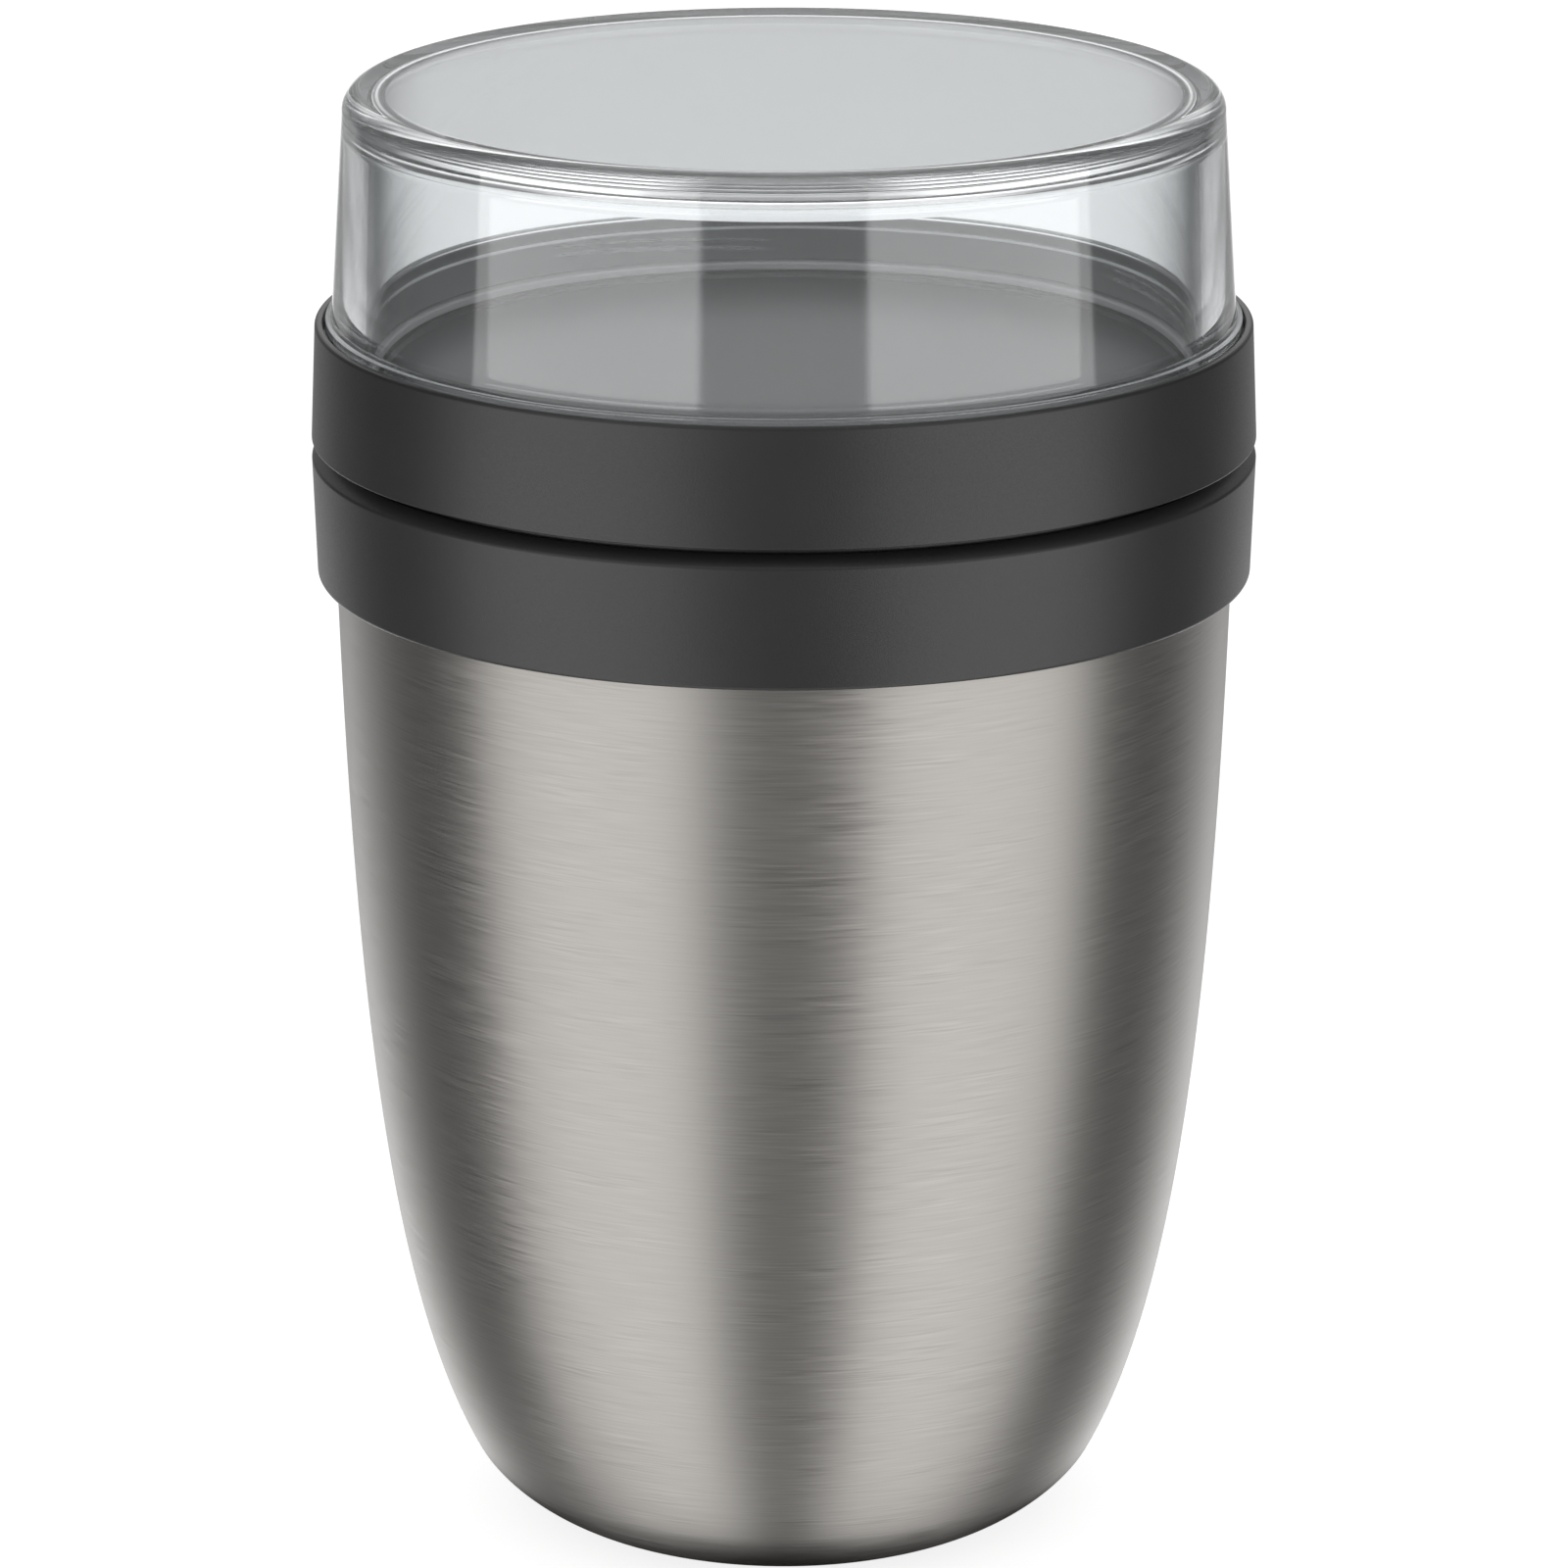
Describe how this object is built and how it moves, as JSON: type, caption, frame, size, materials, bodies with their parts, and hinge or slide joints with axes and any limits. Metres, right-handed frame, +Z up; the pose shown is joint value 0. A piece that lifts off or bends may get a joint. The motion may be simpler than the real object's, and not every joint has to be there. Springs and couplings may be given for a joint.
{
  "type": "insulated lunch pot",
  "caption": "Round vacuum-insulated steel lunch pot with a dark collar, a dark screw-on lid ring with a divider floor, and a clear cup screwed upside down into the ring.",
  "frame": {"origin": "middle of the flat ring that the pot stands on", "axes": "+Z up along the axis of the pot, lid ring and cup; the getter lies on the +X side"},
  "size_m": [0.107, 0.107, 0.1679],
  "materials": {
    "brushed_steel": "fine brushing around the body, warm grey",
    "satin_steel": "satin, electropolished",
    "dark_plastic": "fine matte moulding texture, dark grey",
    "clear_plastic": "clear, polished",
    "silicone": "matte silicone, mid grey",
    "foam": "closed-cell foam, off-white",
    "copper_foil": "bright copper foil, slightly creased",
    "getter_alloy": "sintered powder, dull grey",
    "solder": "smooth melted bead"
  },
  "bodies": {
    "pot": {"outer_shell": "brushed_steel", "inner_liner": "satin_steel", "heat_foil": "copper_foil", "outer_bottom": "satin_steel", "vacuum_seal_bead": "solder", "getter_pellet": "getter_alloy", "getter_clip": "satin_steel", "base_cover": "satin_steel", "neck_collar": "dark_plastic", "collar_seal": "silicone"},
    "gasket_on_lid": {"lid_gasket": "silicone"},
    "lid": {"lid_ring": "dark_plastic", "lid_plug": "dark_plastic", "plug_insulation": "foam"},
    "gasket_under_cup": {"cup_gasket": "silicone"},
    "cup": {"clear_cup": "clear_plastic"}
  },
  "joints": [
    {"name": "lid_lift", "type": "slide", "parent": "pot", "child": "gasket_on_lid", "axis": [0, 0, 1], "range_m": [0, 0.0211]},
    {"name": "lid_turn", "type": "hinge", "parent": "gasket_on_lid", "child": "lid", "pos_m": [0, 0, 0.1335], "axis": [0, 0, 1], "range_deg": [0, 630]},
    {"name": "cup_turn", "type": "hinge", "parent": "lid", "child": "gasket_under_cup", "pos_m": [0, 0, 0.1365], "axis": [0, 0, 1], "range_deg": [0, 450]},
    {"name": "cup_lift", "type": "slide", "parent": "gasket_under_cup", "child": "cup", "axis": [0, 0, 1], "range_m": [0, 0.0151]}
  ],
  "couplings": [
    {"joint": "lid_lift", "follows": "lid_turn", "m_per_rad": 0.0019099},
    {"joint": "cup_lift", "follows": "cup_turn", "m_per_rad": 0.0019099}
  ]
}
